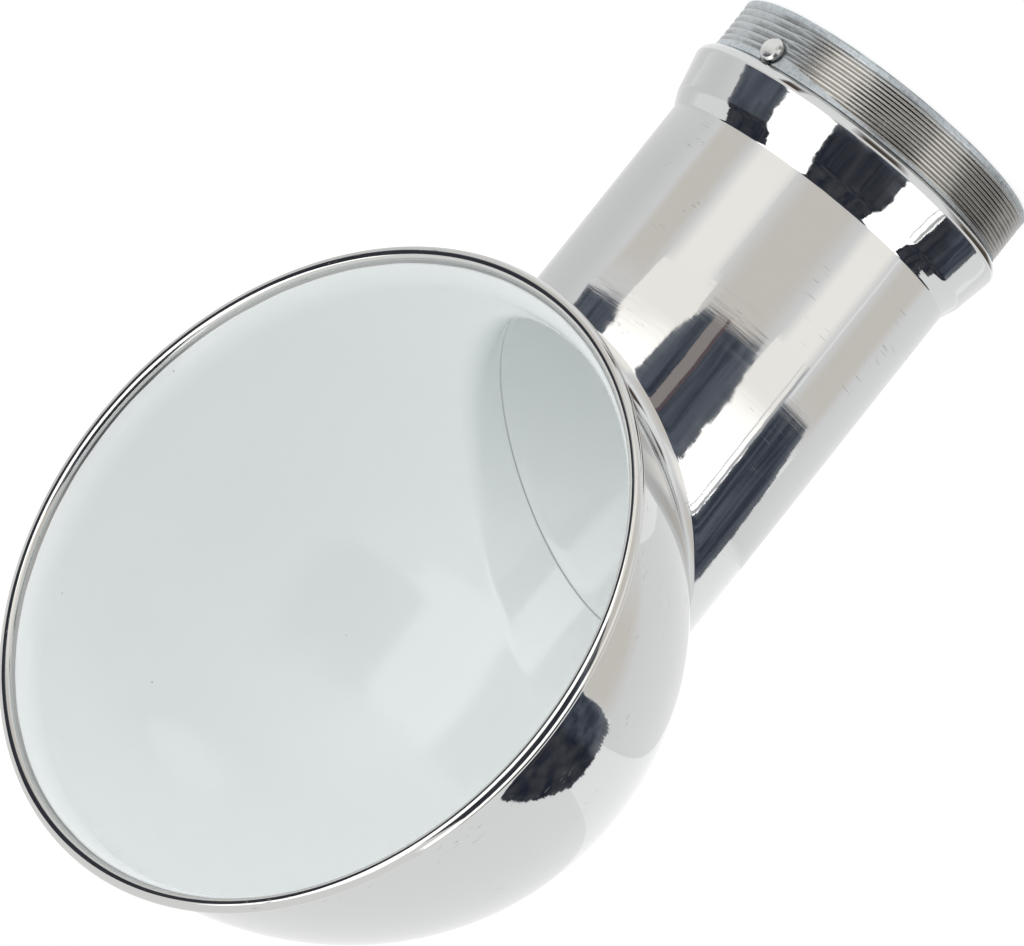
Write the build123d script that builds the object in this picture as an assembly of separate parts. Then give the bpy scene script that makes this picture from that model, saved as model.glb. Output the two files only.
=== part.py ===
from build123d import *
import math
import os

os.makedirs("parts", exist_ok=True)

# A cowl ventilator in polished stainless sheet, standing on the free end of its threaded ring.
# Millimetres. +Z is up the neck axis, the mouth looks along -Y, and the origin is the centre
# of the threaded ring's free end.

# Sheet and coat
SHEET = 1.3
ENAMEL = 0.4

# Neck tube, which the ring, the collar and the bowl are all sized from
NECK_DIAMETER = 101.6
NECK_LENGTH = 79.1

# Threaded ring, a plain cylinder at the thread's major diameter
THREAD_STEP = 1.95
RING_WALL = 6.25
RING_EXPOSED = 17.9
RING_SEAT_DEPTH = 15.0
RING_END_CHAMFER = 1.0
BORE_EDGE_CHAMFER = 0.6
BORE_LEAD_IN = 2.4
SEAT_LEAD = 1.0
SEAT_STEP = 0.6
BRAZE_LEG = 2.5

# Collar swaged on the neck tube, with its turned-in lip
COLLAR_LENGTH = 21.0
SHOULDER_STEP = 2.2
SHOULDER_HEIGHT = 16.3
SHOULDER_ROUND = 9.0
NECK_CORNER_ROUND = 1.5
LIP_OVERHANG = 3.0
LIP_RADIUS = 3.2
LIP_GAP = 0.1

# Bowl, half an ellipsoid of revolution that flares to its mouth and is drawn out at the neck
BOWL_STRETCH = 11.8
BELT_DEPTH = 10.0
FLARE_RADIUS = 15.1
NECK_SETBACK = 19.4
BACK_OVERHANG = 1.8
MOUTH_TIP = 1.0
FLANGE_BEND = 6.5
FLANGE_HEIGHT = 9.5
WELD_WIDTH = 1.6
ENAMEL_EDGE_DEPTH = 0.8

# Mouth ring of round bar
RIM_BAR = 4.4
RIM_BITE = 0.1

# Spring-loaded locking pin in a boss of the ring, its nose just below the collar's lip
PIN_ANGLE = -86.5
PIN_DIAMETER = 7.8
PIN_LIP_GAP = 0.25
PIN_PROUD = 2.6
PIN_NOSE_CHAMFER = 0.75
PIN_DOME = 0.5
PIN_CLEARANCE = 0.08
PIN_GUIDE_LENGTH = 4.2
PIN_SHOULDER_WIDTH = 1.2
PIN_SHOULDER_THICKNESS = 1.6
PIN_SEAT_GAP = 0.05
PIN_TAIL_DIAMETER = 4.0
PIN_TAIL_LENGTH = 3.5
PIN_END_GAP = 0.3
RECESS_WIDTH = 0.6
RECESS_DEPTH = 1.2
POCKET_CLEARANCE = 0.3
BOSS_WALL = 2.0
PLUG_THICKNESS = 3.0
PLUG_CLEARANCE = 0.05
PLUG_SLOT_WIDTH = 1.2
PLUG_SLOT_DEPTH = 1.0
SPRING_WIRE = 0.9
SPRING_TURNS = 3.5
SPRING_END_GAP = 0.05

# Radii and heights that follow, on the neck axis
neck_radius = NECK_DIAMETER / 2
thread_radius = neck_radius + THREAD_STEP
bore_radius = thread_radius - RING_WALL
collar_radius = thread_radius + LIP_OVERHANG
lip_center = (collar_radius - LIP_RADIUS, RING_EXPOSED + LIP_RADIUS)
shoulder = (neck_radius + SHOULDER_STEP, RING_EXPOSED + SHOULDER_HEIGHT)
collar_top = RING_EXPOSED + COLLAR_LENGTH
neck_corner = (neck_radius, collar_top)
ring_height = RING_EXPOSED + RING_SEAT_DEPTH

# Leans from upright of the collar's two straight sides: lip to shoulder, shoulder to neck
shoulder_run = (shoulder[0] - lip_center[0], shoulder[1] - lip_center[1])
side_lean = math.atan2(shoulder_run[1], shoulder_run[0]) - math.acos(
    LIP_RADIUS / math.hypot(*shoulder_run)
)
step_lean = math.atan2(SHOULDER_STEP, COLLAR_LENGTH - SHOULDER_HEIGHT)

# The bowl's place and size: its back stands just behind the neck's rear wall.
bowl_depth = NECK_SETBACK + NECK_DIAMETER + BACK_OVERHANG
bowl_radius = bowl_depth - BELT_DEPTH - BOWL_STRETCH
mouth_height = collar_top + NECK_LENGTH + bowl_radius
mouth_y = neck_radius + BACK_OVERHANG - bowl_depth
tip = math.radians(MOUTH_TIP)
neck_top = mouth_height - bowl_depth * math.tan(tip)
weld_start = FLANGE_HEIGHT - WELD_WIDTH / 2
weld_end = FLANGE_HEIGHT + WELD_WIDTH / 2

# Section plane of what turns about the mouth axis: X is depth behind the mouth, Y is radius.
mouth_plane = Plane(
    origin=(0, mouth_y, mouth_height),
    x_dir=(0, math.cos(tip), -math.sin(tip)),
    z_dir=(-1, 0, 0),
)
mouth_axis = Axis(mouth_plane.origin, mouth_plane.x_dir)

# Distances from the neck axis along the pin's axis, which points outward
pin_tip = thread_radius + PIN_PROUD
pocket_front = thread_radius - PIN_GUIDE_LENGTH
shoulder_front = pocket_front - PIN_SEAT_GAP
shoulder_back = shoulder_front - PIN_SHOULDER_THICKNESS
tail_end = shoulder_back - PIN_TAIL_LENGTH
plug_front = tail_end - PIN_PROUD - PIN_END_GAP
plug_back = plug_front - PLUG_THICKNESS

# Radii about the pin's axis
pin_radius = PIN_DIAMETER / 2
tail_radius = PIN_TAIL_DIAMETER / 2
pin_shoulder_radius = pin_radius + PIN_SHOULDER_WIDTH
guide_radius = pin_radius + PIN_CLEARANCE
recess_radius = guide_radius + RECESS_WIDTH
pocket_radius = pin_shoulder_radius + POCKET_CLEARANCE
boss_radius = pocket_radius + BOSS_WALL

# Place that lays an upright piece along the pin's axis, so that its height is distance out
pin_height = RING_EXPOSED - PIN_LIP_GAP - pin_radius
pin_place = Pos(0, 0, pin_height) * Rot(Z=PIN_ANGLE) * Rot(Y=90)


def turned_on_neck(outline):
    """Solid turned about the neck axis, from a closed outline of radius and height."""
    return revolve(Plane.XZ * make_face(outline), Axis.Z)


def turned_on_mouth(outline):
    """Solid turned about the mouth axis, from a closed outline of depth and radius."""
    return revolve(mouth_plane * make_face(outline), mouth_axis)


def rod_on_neck(radius, bottom, top):
    """Cylinder on the neck axis between two heights."""
    return Pos(0, 0, (bottom + top) / 2) * Cylinder(radius, top - bottom)


def rod_on_pin(radius, inner, outer):
    """Cylinder on the pin's axis between two distances from the neck axis."""
    return pin_place * Pos(0, 0, (inner + outer) / 2) * Cylinder(radius, outer - inner)


def bowl_quarter(offset):
    """Quarter ellipse of the bowl, from its back to its belt, moved out by an offset."""
    return EllipticalCenterArc(
        (BELT_DEPTH, 0),
        bowl_depth - BELT_DEPTH + offset,
        bowl_radius + offset,
        start_angle=0,
        arc_size=90,
    )


def flared_bowl(offset):
    """Solid inside the bowl's surface moved out by an offset, flared from belt to mouth."""
    radius = FLARE_RADIUS - offset
    sweep = math.degrees(math.asin(BELT_DEPTH / radius))
    quarter = bowl_quarter(offset)
    flare = CenterArc((BELT_DEPTH, bowl_radius + FLARE_RADIUS), radius, 270, -sweep)
    return turned_on_mouth([quarter, flare, Line(flare @ 1, (0, 0)), Line((0, 0), quarter @ 0)])


def around_bowl(offset):
    """Solid that reaches an offset outside the bowl, straight from the belt forward."""
    quarter = bowl_quarter(offset)
    front = Polyline(quarter @ 1, (0, bowl_radius + offset), (0, 0), quarter @ 0)
    return turned_on_mouth([quarter, front])


def bowl_on_neck(offset):
    """Bowl and neck as one solid moved out by an offset, with the drawn bend between them."""
    bowl = flared_bowl(offset)
    neck = rod_on_neck(neck_radius + offset, collar_top, neck_top)
    joined = bowl + neck
    return fillet(new_edges(bowl, neck, combined=joined), FLANGE_BEND - offset)


def moved_corner(corner, lean_below, lean_above, depth):
    """Corner of the collar's outline once both of its sides have moved in by a depth.

    A side's lean is its angle from upright, and its normal points out by that angle. The two
    moved sides cross along the sum of their normals.
    """
    share = depth / (1 + math.cos(lean_above - lean_below))
    return (
        corner[0] - share * (math.cos(lean_below) + math.cos(lean_above)),
        corner[1] - share * (math.sin(lean_below) + math.sin(lean_above)),
    )


def inside_neck(depth):
    """Solid inside the neck tube's outline moved in by a depth, from lip to mouth axis."""
    lip = CenterArc(lip_center, LIP_RADIUS - depth, -90, 90 + math.degrees(side_lean))
    sides = FilletPolyline(
        lip @ 1,
        moved_corner(shoulder, side_lean, step_lean, depth),
        moved_corner(neck_corner, step_lean, 0, depth),
        (neck_radius - depth, neck_top),
        radius=[SHOULDER_ROUND - depth, NECK_CORNER_ROUND + depth],
    )
    middle = Polyline(sides @ 1, (0, neck_top), (0, (lip @ 0).Y), lip @ 0)
    return turned_on_neck([lip, sides, middle])


def make_cowl_bowl():
    """Spun bowl with its drawn flange, ending at the mouth ring and at the neck weld."""
    shell = bowl_on_neck(0) - bowl_on_neck(-SHEET)
    return (shell & around_bowl(weld_start)) - make_rim_ring()


def make_bowl_enamel():
    """Coat on the inside of the bowl and its flange, from just behind the mouth ring."""
    coat = bowl_on_neck(-SHEET) - bowl_on_neck(-SHEET - ENAMEL)
    front = mouth_plane * Rot(0, 90, 0) * Cylinder(bowl_radius * 2, ENAMEL_EDGE_DEPTH * 2)
    return (coat & around_bowl(FLANGE_HEIGHT)) - front


def make_rim_ring():
    """Mouth ring of round bar, with the sheet's front edge let into it."""
    inner_flare = FLARE_RADIUS + SHEET
    mouth_radius = bowl_radius + FLARE_RADIUS - math.sqrt(inner_flare**2 - BELT_DEPTH**2)
    section = Pos(0, mouth_radius - RIM_BITE + RIM_BAR / 2) * Circle(RIM_BAR / 2)
    return revolve(mouth_plane * section, mouth_axis)


def make_neck_weld():
    """Butt weld between the bowl's flange and the neck tube, ground flush with both."""
    outside = rod_on_neck(neck_radius, collar_top, neck_top)
    inside = rod_on_neck(neck_radius - SHEET, collar_top, neck_top)
    return (outside - inside) & (around_bowl(weld_end) - around_bowl(weld_start))


def make_neck_tube():
    """Neck tube with its swaged collar, whose lip turns in to the threaded ring."""
    lip_hole = rod_on_neck(thread_radius + LIP_GAP, 0, lip_center[1])
    return inside_neck(0) - inside_neck(SHEET) - lip_hole - around_bowl(weld_end)


def make_neck_enamel():
    """Coat on the inside of the neck, from above the braze to the weld."""
    coat = inside_neck(SHEET) - inside_neck(SHEET + ENAMEL)
    ring_space = rod_on_neck(collar_radius, 0, ring_height + BRAZE_LEG)
    return coat - ring_space - around_bowl(FLANGE_HEIGHT)


def make_threaded_ring():
    """Threaded ring with its pin boss. It steps in at the lip and fills the collar above it."""
    seat_start = RING_EXPOSED - SEAT_LEAD
    section = Polyline(
        (bore_radius + BORE_EDGE_CHAMFER, 0),
        (thread_radius - RING_END_CHAMFER, 0),
        (thread_radius, RING_END_CHAMFER),
        (thread_radius, seat_start),
        (thread_radius - SEAT_STEP, seat_start),
        (thread_radius - SEAT_STEP, lip_center[1]),
        (collar_radius, lip_center[1]),
        (collar_radius, ring_height),
        (bore_radius + BORE_LEAD_IN, ring_height),
        (bore_radius, ring_height - BORE_LEAD_IN),
        (bore_radius, BORE_EDGE_CHAMFER),
        close=True,
    )
    boss = rod_on_pin(boss_radius, plug_back, bore_radius + BORE_LEAD_IN)
    around_collar = rod_on_neck(collar_radius, lip_center[1], neck_top) - inside_neck(SHEET)
    pocket = rod_on_pin(pocket_radius, 0, pocket_front)
    guide = rod_on_pin(guide_radius, 0, pin_tip)
    recess = rod_on_pin(recess_radius, thread_radius - RECESS_DEPTH, pin_tip)
    return turned_on_neck(section) + boss - around_collar - pocket - guide - recess


def make_ring_braze():
    """Braze fillet between the threaded ring's top face and the collar's inside."""
    wall = shoulder[0] - SHEET
    section = Polyline(
        (wall - BRAZE_LEG, ring_height),
        (collar_radius, ring_height),
        (collar_radius, ring_height + BRAZE_LEG),
        (wall, ring_height + BRAZE_LEG),
        close=True,
    )
    return turned_on_neck(section) & inside_neck(SHEET)


def make_lock_pin():
    """Locking pin: domed nose, shoulder that stops in the pocket, tail inside the spring."""
    nose_radius = pin_radius - PIN_NOSE_CHAMFER
    dome_foot = pin_tip - PIN_DOME
    dome = TangentArc((0, pin_tip), (nose_radius, dome_foot), tangent=(1, 0))
    side = Polyline(
        (nose_radius, dome_foot),
        (pin_radius, dome_foot - PIN_NOSE_CHAMFER),
        (pin_radius, shoulder_front),
        (pin_shoulder_radius, shoulder_front),
        (pin_shoulder_radius, shoulder_back),
        (tail_radius, shoulder_back),
        (tail_radius, tail_end),
        (0, tail_end),
        (0, pin_tip),
    )
    return pin_place * turned_on_neck([dome, side])


def make_pin_spring():
    """Coil spring between the plug and the pin's shoulder."""
    inset = SPRING_WIRE / 2 + SPRING_END_GAP
    height = shoulder_back - plug_front - 2 * inset
    coil = Helix(height / SPRING_TURNS, height, (tail_radius + pocket_radius) / 2)
    wire = sweep(Plane(origin=coil @ 0, z_dir=coil % 0) * Circle(SPRING_WIRE / 2), path=coil)
    return pin_place * Pos(0, 0, plug_front + inset) * wire


def make_spring_plug():
    """Screw plug that closes the pocket behind the spring, slotted for a screwdriver."""
    plug = rod_on_pin(pocket_radius - PLUG_CLEARANCE, plug_back, plug_front)
    slot = Box(PLUG_SLOT_WIDTH, pocket_radius * 2, PLUG_SLOT_DEPTH * 2)
    return plug - pin_place * Pos(0, 0, plug_back) * slot


nodes = {
    "cowl_bowl": make_cowl_bowl,
    "rim_ring": make_rim_ring,
    "bowl_enamel": make_bowl_enamel,
    "neck_weld": make_neck_weld,
    "neck_tube": make_neck_tube,
    "neck_enamel": make_neck_enamel,
    "threaded_ring": make_threaded_ring,
    "ring_braze": make_ring_braze,
    "lock_pin": make_lock_pin,
    "pin_spring": make_pin_spring,
    "spring_plug": make_spring_plug,
}
for name, make in nodes.items():
    export_step(make(), f"parts/{name}.step")
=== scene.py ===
"""A cowl ventilator: polished stainless bowl and neck, white enamel inside, threaded ring below.

Metres. +Z is up the neck axis, the mouth looks along -Y, and the origin is the centre of the
threaded ring's free end.
"""
import functools
import math

import bmesh
import bpy
import numpy as np
from mathutils import Matrix, Vector


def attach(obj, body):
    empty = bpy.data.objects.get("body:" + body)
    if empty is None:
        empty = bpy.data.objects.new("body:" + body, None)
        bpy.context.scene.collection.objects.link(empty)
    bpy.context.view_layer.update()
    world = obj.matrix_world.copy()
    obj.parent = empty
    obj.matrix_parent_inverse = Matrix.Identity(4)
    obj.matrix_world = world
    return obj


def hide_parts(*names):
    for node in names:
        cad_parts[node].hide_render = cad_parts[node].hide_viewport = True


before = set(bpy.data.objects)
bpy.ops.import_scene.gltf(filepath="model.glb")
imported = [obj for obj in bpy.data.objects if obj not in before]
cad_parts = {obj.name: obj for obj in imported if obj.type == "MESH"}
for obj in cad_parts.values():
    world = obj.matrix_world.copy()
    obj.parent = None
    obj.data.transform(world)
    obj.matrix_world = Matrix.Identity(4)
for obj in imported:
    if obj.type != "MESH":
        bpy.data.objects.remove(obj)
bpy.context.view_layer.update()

MM = 0.001
TURN = 2 * math.pi

# Edges above these angles in degrees are kept sharp
SHARP_ABOVE = 32
COAT_SHARP_ABOVE = 50
RING_SHARP_ABOVE = 28
PIN_SHARP_ABOVE = 25

# Columns of the grids, and the rows of the bowl's flange, bend, ellipsoid and flare
BOWL_COLUMNS = 400
HOLE_COLUMNS = 1440
NECK_COLUMNS = 384
RING_COLUMNS = 360
BEAD_COLUMNS = 480
BEAD_STEPS = 36
TURNED_COLUMNS = 72
DRILL_COLUMNS = 64
SHOWN_ROWS = (3, 14, 112, 12)
HIDDEN_ROWS = (2, 8, 56, 6)
SHOWN_NECK_ROWS = 30
HIDDEN_NECK_ROWS = 12
PITCH_ROWS = 24

# Steps in which a place on a curve is found, and how far below the mouth's centre the bend is
HALVINGS = 45
NEWTON_STEPS = 20
BEND_BELOW_MOUTH = (140 * MM, 5 * MM)

# Sheet and coat
SHEET = 1.3 * MM
COAT = 0.4 * MM
SKIN_GAP = 0.01 * MM

# Neck, collar and lip
NECK_RADIUS = 50.8 * MM
COLLAR_TOP = 38.9 * MM
SHOULDER = (53.0 * MM, 34.2 * MM)
SHOULDER_ROUND = 9.0 * MM
NECK_CORNER_ROUND = 1.5 * MM
LIP_CENTRE = (52.55 * MM, 21.1 * MM)
LIP_RADIUS = 3.2 * MM
LIP_HOLE = 52.85 * MM

# Bowl
MOUTH_CENTRE = np.array([0.0, -70.2, 219.0]) * MM
MOUTH_TIP = math.radians(1.0)
BOWL_RADIUS = 101.0 * MM
BOWL_DEPTH = 122.8 * MM
BELT_DEPTH = 10.0 * MM
FLARE_RADIUS = 15.1 * MM
FLANGE_BEND = 6.5 * MM
FLANGE_HEIGHT = 9.5 * MM
WELD_WIDTH = 1.6 * MM
WELD_LINE = 0.6 * MM
COAT_EDGE_DEPTH = 0.8 * MM
COAT_EDGE_RIPPLE = 0.12 * MM
CUT_EDGE_LAY = 157.6 * MM
BEAD_CENTRE_RADIUS = 105.2 * MM
BEAD_BAR = 4.4 * MM

# Threaded ring
RING_EXPOSED = 17.9 * MM
RING_HEIGHT = 32.9 * MM
THREAD_RADIUS = 52.75 * MM
BORE_RADIUS = 46.5 * MM
THREAD_START = 0.9 * MM
THREAD_END = 15.4 * MM
THREAD_CLIMB = 1.2 * MM
THREAD_RUN_OUT = 2.7 * MM
THREAD_PITCH = 2.44 * MM
THREAD_PHASE = 0.603
THREAD_DEPTH = 0.5 * MM
THREAD_EASE_IN = 1.8 * MM
THREAD_EASE_OUT = 0.2 * MM
GROOVE_POWER = 1.5
SECOND_RIDGE = 0.45
WORN_DEPTH = 1.5
SEAT_LEAD = 0.2 * MM
SEAT_STEP = 0.6 * MM
BRAZE_LEG = 2.5 * MM

# Shares of a turn from the locking pin: between which the thread runs out, and at which its two
# ridges are worn into one by how much
RUN_OUT = (0.9, 0.985)
WEAR = ((0, 1), (0.12, 0.9), (0.6, 0.2), (0.97, 0), (1, 1))

# Locking pin: distances from the neck axis along its own axis, and radii about it
PIN_TURN = math.radians(-86.5)
PIN_HEIGHT = 13.75 * MM
PIN_TIP = 55.35 * MM
PIN_RADIUS = 3.9 * MM
PIN_NOSE_RADIUS = 3.15 * MM
PIN_DOME = 0.5 * MM
PIN_SHOULDER_RADIUS = 5.1 * MM
PIN_SHOULDER = (46.9 * MM, 48.5 * MM)
PIN_TAIL_RADIUS = 2.0 * MM
PIN_TAIL_END = 43.4 * MM
GUIDE_RADIUS = 3.98 * MM
RECESS_RADIUS = 4.58 * MM
RECESS_DEPTH = 1.2 * MM
POCKET_RADIUS = 5.4 * MM
POCKET_FRONT = 48.55 * MM
BOSS_RADIUS = 7.4 * MM
BOSS_FACE = 37.5 * MM
BOSS_FOOT = 1.6 * MM

# The mouth's own directions: into the bowl, up across the mouth, and to the side
INWARD = np.array([0.0, math.cos(MOUTH_TIP), -math.sin(MOUTH_TIP)])
UPWARD = np.array([0.0, math.sin(MOUTH_TIP), math.cos(MOUTH_TIP)])
SIDEWAYS = np.array([1.0, 0.0, 0.0])


# Meshes

def make_piece(name, points, quads, lay=None):
    """Mesh object from points and quads, turned so that its volume is positive.

    The lay, where there is one, is each point's distance along the polishing feed.
    """
    corners = points[quads]
    across = corners[:, 2] - corners[:, 0]
    over = corners[:, 3] - corners[:, 1]
    if np.einsum("ij,ij->", np.cross(across, over), corners.mean(axis=1)) < 0:
        quads = quads[:, ::-1]
    mesh = bpy.data.meshes.new(name)
    mesh.vertices.add(len(points))
    mesh.vertices.foreach_set("co", points.astype(np.float32).ravel())
    mesh.loops.add(quads.size)
    mesh.loops.foreach_set("vertex_index", quads.astype(np.int32).ravel())
    mesh.polygons.add(len(quads))
    mesh.polygons.foreach_set("loop_start", np.arange(0, quads.size, 4, dtype=np.int32))
    mesh.update(calc_edges=True)
    if lay is not None:
        layer = mesh.attributes.new("lay", "FLOAT", "POINT")
        layer.data.foreach_set("value", lay.astype(np.float32).ravel())
    piece = bpy.data.objects.new(name, mesh)
    bpy.context.scene.collection.objects.link(piece)
    return piece


def close_seams(piece):
    """Merges points that lie on one another, which closes the seams and poles of a grid."""
    work = bmesh.new()
    work.from_mesh(piece.data)
    bmesh.ops.remove_doubles(work, verts=work.verts, dist=0.0005 * MM)
    work.to_mesh(piece.data)
    work.free()


def smooth(piece, sharp_above=SHARP_ABOVE):
    """Smooth shading, with edges kept sharp above an angle in degrees."""
    piece.data.shade_smooth()
    piece.data.set_sharp_from_angle(angle=math.radians(sharp_above))


def grid_piece(name, grid, lay=None, sharp_above=SHARP_ABOVE):
    """Closed skin of a grid whose rows and columns each come round to where they began."""
    rows, columns = grid.shape[:2]
    index = np.arange(rows * columns).reshape(rows, columns)
    ahead = np.roll(index, -1, axis=1)
    quads = np.stack([index, ahead, np.roll(ahead, -1, axis=0), np.roll(index, -1, axis=0)], -1)
    piece = make_piece(name, grid.reshape(-1, 3), quads.reshape(-1, 4), lay)
    smooth(piece, sharp_above)
    return piece


def turned_piece(name, profile, place, columns, sharp_above=SHARP_ABOVE):
    """Profile of radius and height, closed and turned once about an axis, put at a place."""
    turn = np.linspace(0, TURN, columns, endpoint=False)
    radius, height = profile[:, :1], profile[:, 1:]
    local = np.stack([radius * np.cos(turn), radius * np.sin(turn), height + 0 * turn,
                      1 + 0 * radius * turn], -1)
    grid = (local @ np.array(place).T)[..., :3]
    piece = grid_piece(name, grid, sharp_above=sharp_above)
    close_seams(piece)
    smooth(piece, sharp_above)
    return piece


def swing(start, end, shares):
    """Directions turned from one unit vector to another: each is sin((1-s)a)/sin(a) of the first
    plus sin(sa)/sin(a) of the second, where a is the angle between them."""
    angle = np.arccos(np.clip((start * end).sum(-1), -1, 1))[..., None]
    shares = shares.reshape((-1,) + (1,) * start.ndim)
    return (np.sin((1 - shares) * angle) * start + np.sin(shares * angle) * end) / np.sin(angle)


def rounded(before, corner, after, radius, steps):
    """Points of the arc that rounds a corner: its centre lies on the corner's bisector, at the
    radius over the sine of half the corner's angle."""
    before, corner, after = (np.array(p, float) for p in (before, corner, after))
    back = (before - corner) / np.linalg.norm(before - corner)
    ahead = (after - corner) / np.linalg.norm(after - corner)
    half = math.acos(float(back @ ahead)) / 2
    centre = corner + (back + ahead) / np.linalg.norm(back + ahead) * radius / math.sin(half)
    touch_back = corner + back * radius / math.tan(half)
    touch_ahead = corner + ahead * radius / math.tan(half)
    spokes = swing((touch_back - centre) / radius, (touch_ahead - centre) / radius,
                   np.linspace(0, 1, steps))
    return centre + radius * spokes


def ripple(turn, seed, waves):
    """Uneven line round a circle: a sum of sines of a few whole wave counts, from -1 to 1."""
    phases = np.random.default_rng(seed).uniform(0, TURN, len(waves))
    return sum(np.sin(k * turn + p) for k, p in zip(waves, phases)) / len(waves)


# The bowl's surface

def on_bowl(across, turn, offset):
    """Point of the ellipsoid moved out by an offset.

    Across runs from 0 at the back to a quarter turn at the belt: the depth is the half length
    times its cosine behind the belt, and the radius is the bowl's times its sine.
    """
    depth = BELT_DEPTH + (BOWL_DEPTH - BELT_DEPTH + offset) * np.cos(across)
    return round_mouth(depth, (BOWL_RADIUS + offset) * np.sin(across), turn)


def round_mouth(depth, radius, turn):
    """Point at a depth behind the mouth, and at a radius and turn about the mouth's axis."""
    depth, radius, turn = np.broadcast_arrays(depth, radius, turn)
    spoke = np.cos(turn)[..., None] * SIDEWAYS + np.sin(turn)[..., None] * UPWARD
    return MOUTH_CENTRE + depth[..., None] * INWARD + radius[..., None] * spoke


def from_bowl(points, offset):
    """Distance of points from the ellipsoid, and its outward normal at their feet.

    The foot's angle a on the section is where the gap to the point lies square to the curve,
    found by Newton's steps.
    """
    reach = points - MOUTH_CENTRE
    depth = reach @ INWARD - BELT_DEPTH
    sidelong, upright = reach @ SIDEWAYS, reach @ UPWARD
    radius = np.hypot(sidelong, upright)
    long, short = BOWL_DEPTH - BELT_DEPTH + offset, BOWL_RADIUS + offset
    a = np.arctan2(radius / short, depth / long)
    for _ in range(NEWTON_STEPS):
        gap_x, gap_y = depth - long * np.cos(a), radius - short * np.sin(a)
        slope = -gap_x * long * np.sin(a) + gap_y * short * np.cos(a)
        bend = -(long * np.sin(a)) ** 2 - (short * np.cos(a)) ** 2
        bend = bend - gap_x * long * np.cos(a) - gap_y * short * np.sin(a)
        a = a - slope / bend
    normal_x, normal_y = np.cos(a) / long, np.sin(a) / short
    size = np.hypot(normal_x, normal_y)
    normal_x, normal_y = normal_x / size, normal_y / size
    distance = (depth - long * np.cos(a)) * normal_x + (radius - short * np.sin(a)) * normal_y
    spoke = (sidelong[..., None] * SIDEWAYS + upright[..., None] * UPWARD) / radius[..., None]
    return distance, normal_x[..., None] * INWARD + normal_y[..., None] * spoke


def level_height(radius, turn, offset):
    """Height on the neck's cylinder where it meets the ellipsoid moved out by an offset: the
    lower root of the ellipsoid's quadratic along an upright line."""
    x, y = radius * np.cos(turn), radius * np.sin(turn) - MOUTH_CENTRE[1]
    lean, rise = INWARD[1], UPWARD[1]
    long, short = BOWL_DEPTH - BELT_DEPTH + offset, BOWL_RADIUS + offset
    depth = y * lean - BELT_DEPTH
    square = (rise / long) ** 2 + (lean / short) ** 2
    linear = 2 * (-depth * rise / long**2 + y * rise * lean / short**2)
    constant = (depth / long) ** 2 + (x**2 + (y * rise) ** 2) / short**2 - 1
    root = np.sqrt(linear**2 - 4 * square * constant)
    return MOUTH_CENTRE[2] + (-linear - root) / (2 * square)


def on_neck(radius, height, turn):
    """Point on a cylinder about the neck's axis."""
    radius, height, turn = np.broadcast_arrays(radius, height, turn)
    return np.stack([radius * np.cos(turn), radius * np.sin(turn), height], -1)


def drawn_bend(turn, offset, steps):
    """The bend between neck and bowl, as a ball rolled in the corner.

    The ball's centre stays the bend's radius outside the neck and outside the bowl, so its
    height follows by halving. Each section is the arc between its two touching points.
    """
    ball = FLANGE_BEND - offset
    low, high = (np.full(turn.shape, MOUTH_CENTRE[2] - below) for below in BEND_BELOW_MOUTH)
    for _ in range(HALVINGS):
        middle = (low + high) / 2
        outside = from_bowl(on_neck(NECK_RADIUS + FLANGE_BEND, middle, turn), offset)[0] > ball
        low, high = np.where(outside, middle, low), np.where(outside, high, middle)
    centre = on_neck(NECK_RADIUS + FLANGE_BEND, low, turn)
    normal = from_bowl(centre, offset)[1]
    to_neck = -on_neck(1.0, 0.0, turn)
    return centre + ball * swing(to_neck, -normal, np.linspace(0, 1, steps))


def columns_of_bowl(count):
    """Turns about the neck and about the mouth at which the bowl's columns begin and end.

    The bowl is laid flat by its angle across, where the neck's hole is round a centre of its
    own. A column is a straight line there, at a turn about that centre that is halfway between
    even turns and the turns that space the mouth evenly.
    """
    even = np.linspace(0, TURN, count, endpoint=False)
    fine = np.linspace(0, TURN, HOLE_COLUMNS, endpoint=False)
    hole = laid_flat(drawn_bend(fine, 0.0, 2)[-1], 0.0)
    centre = hole.mean(axis=0)
    rim = math.pi / 2 * np.stack([np.cos(even), np.sin(even)], -1) - centre
    share = np.unwrap(np.arctan2(rim[:, 1], rim[:, 0]))
    turn = (even + share + (even[0] - share[0])) / 2 + share[0] / 2
    spoke = np.stack([np.cos(turn), np.sin(turn)], -1)
    reach = spoke @ centre
    length = -reach + np.sqrt(reach**2 + (math.pi / 2) ** 2 - centre @ centre)
    end = centre + spoke * length[:, None]
    hole = hole - centre
    hole_turn = np.unwrap(np.arctan2(hole[:, 1], hole[:, 0]))
    if hole_turn[-1] < hole_turn[0]:
        hole_turn, fine = hole_turn[::-1], fine[::-1]
    first = hole_turn[0]
    wrapped = (turn - first) % TURN + first
    round_neck = np.unwrap(fine)
    lap = TURN * np.sign(fine[1] - fine[0])
    neck_turn = np.interp(wrapped, np.append(hole_turn, first + TURN),
                          np.append(round_neck, round_neck[0] + lap))
    return neck_turn, np.arctan2(end[:, 1], end[:, 0])


def laid_flat(points, offset):
    """The bowl laid flat: each point at its angle across from the middle, and at its turn."""
    reach = points - MOUTH_CENTRE
    radius = np.hypot(reach @ SIDEWAYS, reach @ UPWARD) / (BOWL_RADIUS + offset)
    depth = (reach @ INWARD - BELT_DEPTH) / (BOWL_DEPTH - BELT_DEPTH + offset)
    across = np.arctan2(radius, depth)
    turn = np.arctan2(reach @ UPWARD, reach @ SIDEWAYS)
    return across[..., None] * np.stack([np.cos(turn), np.sin(turn)], -1)


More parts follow.
